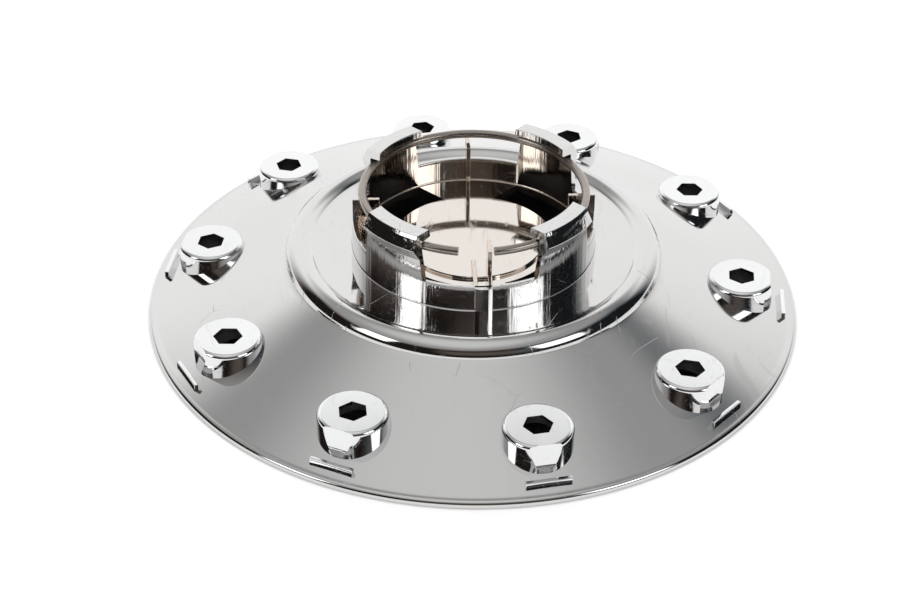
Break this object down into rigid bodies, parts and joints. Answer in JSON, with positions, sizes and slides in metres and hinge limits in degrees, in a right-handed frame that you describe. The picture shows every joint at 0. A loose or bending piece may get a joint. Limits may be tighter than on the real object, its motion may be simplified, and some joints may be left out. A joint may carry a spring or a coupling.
{
  "type": "hubcap",
  "caption": "Chrome-plated conical wheel centre cap with ten hollow round bosses that have hexagonal holes, a sprung snap collar on its back and an open wire ring inside the collar's fingers.",
  "frame": {"origin": "on the cap's axis, level with the flat edge of the rim that it lies on when face down", "axes": "+Z along the cap's axis from its front towards the snap collar on its back, -Y through the gap that holds the two ends of the spring ring, +X through the next gap anticlockwise seen from +Z"},
  "size_m": [0.19, 0.19, 0.0404],
  "materials": {
    "chrome_plating": "bright plating over moulded plastic, with fine handling marks",
    "spring_steel": "drawn wire, dull brownish grey"
  },
  "bodies": {
    "root": {"cap_moulding": "chrome_plating", "spring_ring": "spring_steel"}
  },
  "joints": []
}
